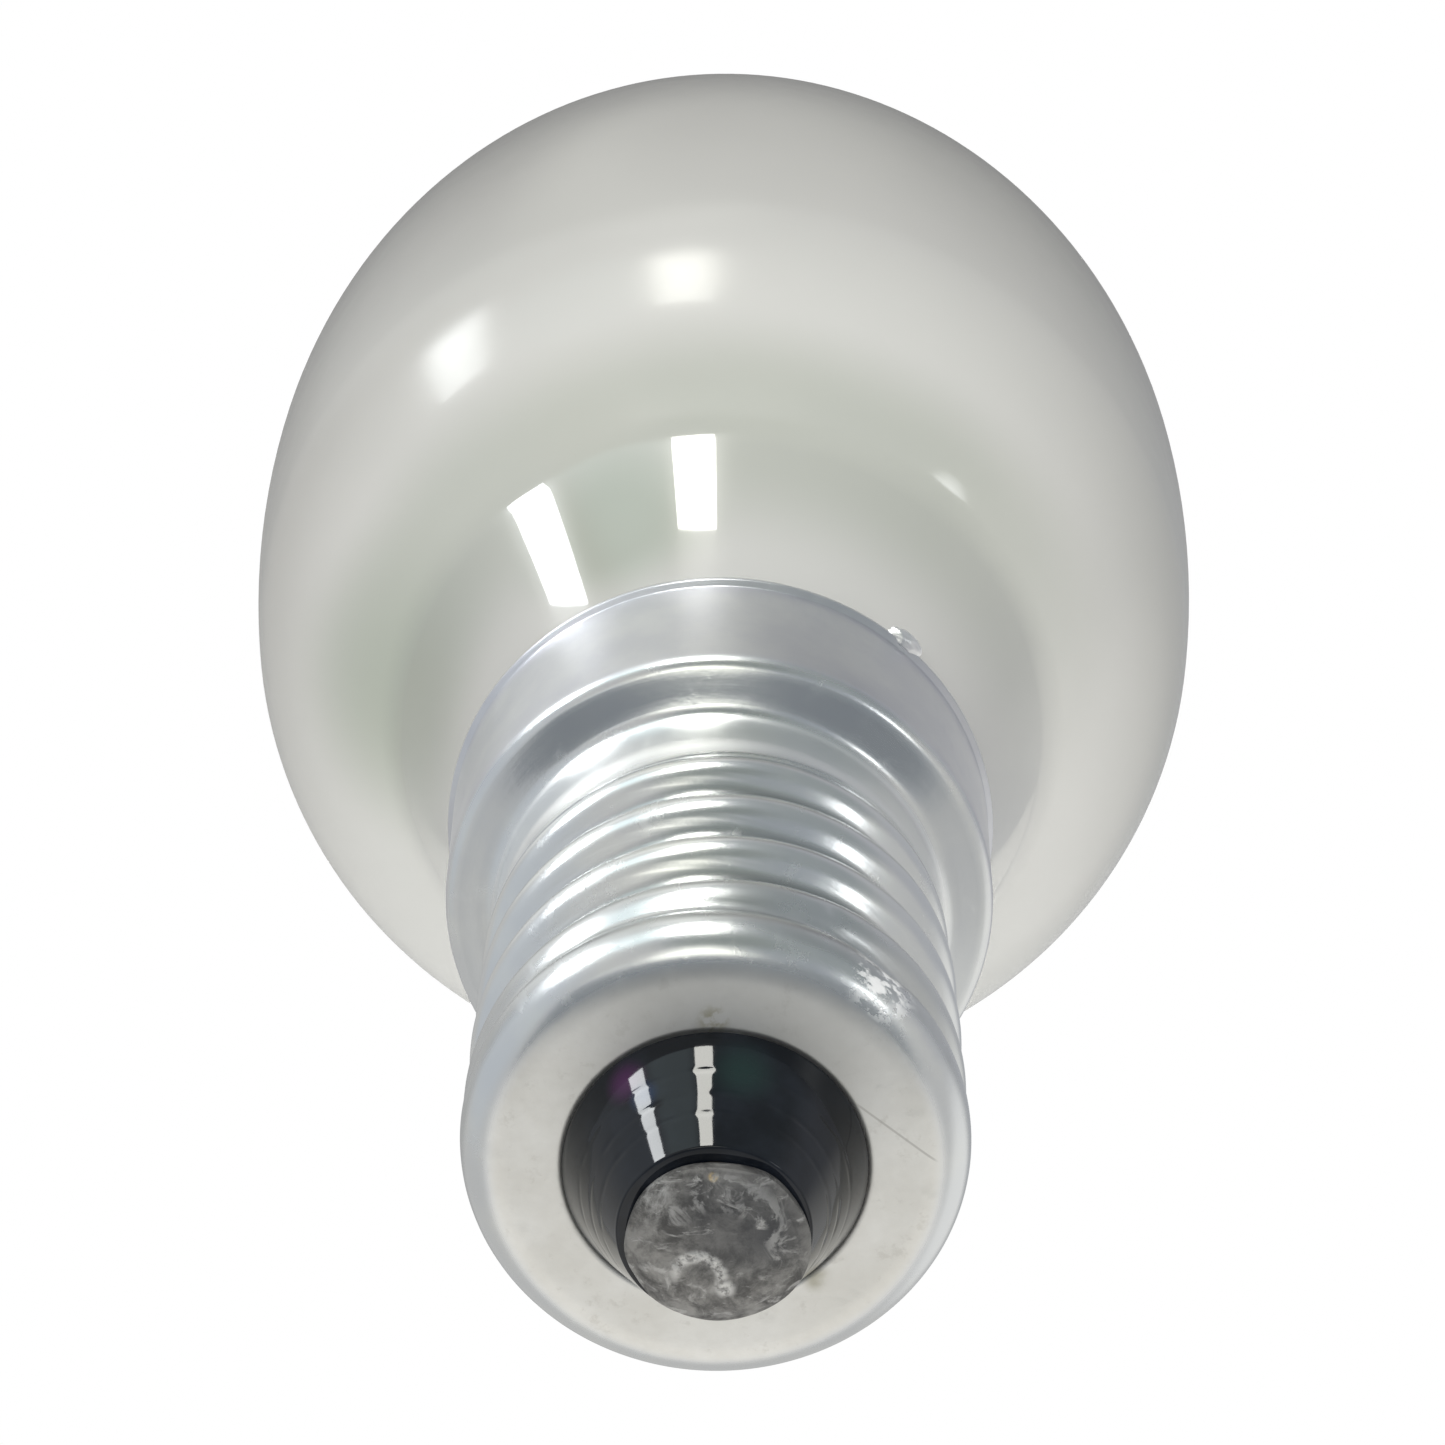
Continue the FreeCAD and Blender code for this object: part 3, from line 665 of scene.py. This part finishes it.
# The studio. A pale floor lies well below the lamp, under the camera, which sees mostly the paper's own colour.
# The world behind everything is white to the camera and to gloss and glass, and lights matt surfaces at a plain,
# lower level.
floor_height = -0.14
floor_size = 4.0
bpy.ops.object.select_all(action="DESELECT")
bpy.ops.mesh.primitive_plane_add(size=floor_size, location=(0, 0, floor_height))
floor = bpy.context.object
floor.name = "floor"
paper = Finish("pale paper")
fibres = paper.cloud(paper.place(), 60.0, 4.0)
paper_colour = paper.mix(fibres, (0.80, 0.80, 0.79, 1), (0.84, 0.84, 0.83, 1))
paper.set(Base_Color=paper_colour, Roughness=0.7 + 0.1 * fibres)
own_light = paper.node("ShaderNodeEmission", {}, {"Color": paper_colour})
own_light_share = 0.85
to_camera = paper.node("ShaderNodeLightPath", {}, {}, "Is Camera Ray") * own_light_share
pale_paper = paper.node("ShaderNodeMixShader", {}, {
    0: to_camera, 1: Value(paper, paper.shader.outputs[0]), 2: own_light})
paper.feed(paper.tree.nodes["Material Output"].inputs["Surface"], pale_paper)
floor.data.materials.append(paper.material)

world_fill = 0.36
world = bpy.data.worlds.new("studio")
bpy.context.scene.world = world
world.use_nodes = True
sky = world.node_tree
path = sky.nodes.new("ShaderNodeLightPath")
seen = sky.nodes.new("ShaderNodeMath")
seen.operation = "MAXIMUM"
seen_at_all = sky.nodes.new("ShaderNodeMath")
seen_at_all.operation = "MAXIMUM"
level = sky.nodes.new("ShaderNodeMapRange")
level.inputs["To Min"].default_value = world_fill
sky.links.new(path.outputs["Is Camera Ray"], seen.inputs[0])
sky.links.new(path.outputs["Is Glossy Ray"], seen.inputs[1])
sky.links.new(seen.outputs[0], seen_at_all.inputs[0])
sky.links.new(path.outputs["Is Transmission Ray"], seen_at_all.inputs[1])
sky.links.new(seen_at_all.outputs[0], level.inputs["Value"])
sky.links.new(level.outputs[0], sky.nodes["Background"].inputs["Strength"])
sky.nodes["Background"].inputs["Color"].default_value = (1, 1, 1, 1)

# The lamps stand round the object, each placed by its azimuth from +X and its elevation. Two windows of light
# give the long highlights, and three soft fills that no gloss shows even out the matt surfaces. The one above
# lights only the lamp bulb itself, so the floor doesn't throw it back at the cap.
lamp_centre = Vector((0, 0, 25 * mm))


def towards(azimuth, elevation):
    flat = math.cos(math.radians(elevation))
    return Vector((
        flat * math.cos(math.radians(azimuth)), flat * math.sin(math.radians(azimuth)),
        math.sin(math.radians(elevation))))


def soft_lamp(name, azimuth, elevation, distance, wide, tall, brightness, colour):
    """A lamp that faces the object. Width and height are angles, and brightness is its radiance."""
    bpy.ops.object.light_add(type="AREA", location=lamp_centre + distance * towards(azimuth, elevation))
    lamp = bpy.context.object
    lamp.name = name
    lamp.rotation_euler = (lamp.location - lamp_centre).to_track_quat("Z", "Y").to_euler()
    lamp.data.shape = "RECTANGLE"
    lamp.data.size = 2 * distance * math.tan(math.radians(wide) / 2)
    lamp.data.size_y = 2 * distance * math.tan(math.radians(tall) / 2)
    lamp.data.energy = brightness * math.pi * lamp.data.size * lamp.data.size_y
    lamp.data.color = colour
    lamp.visible_camera = False
    return lamp


left_window = soft_lamp("left_window", -141, 17, 0.5, 10.5, 24, 13, (0.96, 0.99, 1.0))
left_window.visible_diffuse = False
middle_window = soft_lamp("middle_window", -98, 12.5, 0.5, 10.5, 22, 14.5, (1.0, 0.995, 0.93))
middle_window.visible_diffuse = False
front_fill = soft_lamp("front_fill", -93, -42, 0.18, 34, 30, 8.5, (1, 1, 1))
front_fill.visible_glossy = False
back_fill = soft_lamp("back_fill", 95, -20, 0.30, 64, 44, 4.7, (1, 1, 1))
back_fill.visible_glossy = False
top_fill = soft_lamp("top_fill", 90, 67, 0.5, 30, 30, 15, (1, 1, 1))
top_fill.visible_glossy = False
lit_from_top = bpy.data.collections.new("lit_from_top")
for piece in (bulb, cap, insulator, contact, drop):
    lit_from_top.objects.link(piece)
top_fill.light_linking.receiver_collection = lit_from_top

# The room that gloss and metal reflect: a wide shell round the object and a small bowl round its foot, in soft
# patches of light and shade. Nothing else sees it. Each patch has a direction, two angles it fades between, and
# the colour of its light.
room_radius = 0.62
bowl_radius = 0.132
room_patches = (
    (90, -56, 30, 60, (1.03, 1.02, 0.985, 1)),
    (-168, 0, 20, 44, (0.56, 0.59, 0.62, 1)),
    (-135, 62, 10, 32, (0.98, 1.00, 0.98, 1)),
    (105, 62, 8, 28, (0.44, 0.44, 0.44, 1)),
    (-10, 52, 30, 60, (0.46, 0.47, 0.49, 1)),
    (90, -86, 12, 27, (0.36, 0.38, 0.40, 1)),
    (35, 12, 16, 34, (0.86, 0.86, 0.84, 1)),
    (-90, 82, 12, 34, (0.16, 0.16, 0.17, 1)),
    (-100, 48, 6, 14, (1.25, 1.26, 1.20, 1)),
    (-106, 62, 8, 18, (0.70, 0.71, 0.66, 1)),
    (-82, 68, 6, 16, (0.34, 0.34, 0.33, 1)),
    (-70, 5, 28, 52, (0.31, 0.34, 0.35, 1)),
    (-118, 15, 8, 18, (0.95, 1.10, 1.12, 1)),
    (-88, -13, 10, 24, (0.24, 0.27, 0.255, 1)),
    (-45, -50, 20, 40, (0.33, 0.36, 0.39, 1)),
    (-142, -46, 9, 18, (1.15, 1.18, 1.18, 1)),
    (-99, -45, 9, 17, (2.30, 2.30, 2.08, 1)),
    (-33, -22, 3, 7, (4.2, 4.3, 4.3, 1)))
bpy.ops.object.select_all(action="DESELECT")
bpy.ops.mesh.primitive_uv_sphere_add(segments=48, ring_count=24, radius=room_radius)
room = bpy.context.object
room.name = "room"
bpy.ops.object.mode_set(mode="EDIT")
bpy.ops.mesh.bisect(plane_co=(0, 0, floor_height), plane_no=(0, 0, 1), clear_inner=True)
bpy.ops.object.mode_set(mode="OBJECT")
bpy.ops.object.select_all(action="DESELECT")
bpy.ops.mesh.primitive_uv_sphere_add(segments=48, ring_count=24, radius=bowl_radius)
bowl = bpy.context.object
bowl.name = "bowl"
bpy.ops.object.mode_set(mode="EDIT")
bpy.ops.mesh.bisect(plane_co=(0, 0, 0), plane_no=(0, 0, 1), clear_outer=True)
bpy.ops.object.mode_set(mode="OBJECT")

room_light = Finish("room light")
sight = room_light.node("ShaderNodeVectorMath", {"operation": "NORMALIZE"}, {0: room_light.place()})
room_colour = (0.56, 0.56, 0.55, 1)
for azimuth, elevation, full, faded, patch_colour in room_patches:
    nearness = room_light.node("ShaderNodeVectorMath", {"operation": "DOT_PRODUCT"}, {
        0: sight, 1: towards(azimuth, elevation)}, "Value")
    share = room_light.rise(nearness, math.cos(math.radians(faded)), math.cos(math.radians(full)))
    room_colour = room_light.mix(share, room_colour, patch_colour)
room_light.set(Base_Color=(0, 0, 0, 1), Specular_IOR_Level=0, Emission_Color=room_colour, Emission_Strength=1)
for shell in (room, bowl):
    shell.data.materials.append(room_light.material)

# A dark card round the camera and below it, which the rim's roll and the cap's flat shoulder reflect.
card_width = 0.178
card_height = 0.069
card_distance = 0.080
card_direction = towards(-90, -77)
cap_front = Vector((0, -7, 10)) * mm
bpy.ops.object.select_all(action="DESELECT")
bpy.ops.mesh.primitive_plane_add(size=1, location=cap_front + card_distance * card_direction)
card = bpy.context.object
card.name = "camera_card"
card.scale = (card_width, card_height, 1)
card.rotation_euler = card_direction.to_track_quat("Z", "Y").to_euler()
bpy.ops.object.transform_apply(location=True, rotation=True, scale=True)
dark_card = Finish("dark card")
card_cloud = dark_card.cloud(dark_card.place(), 20.0)
dark_card.set(
    Base_Color=(0, 0, 0, 1), Specular_IOR_Level=0, Emission_Strength=1,
    Emission_Color=dark_card.mix(card_cloud, (0.22, 0.24, 0.26, 1), (0.27, 0.29, 0.31, 1)))
card.data.materials.append(dark_card.material)
for shell in (room, bowl, card):
    shell.visible_camera = False
    shell.visible_diffuse = False
    shell.visible_shadow = False
    shell.visible_transmission = False

bpy.context.scene.view_settings.view_transform = "Standard"
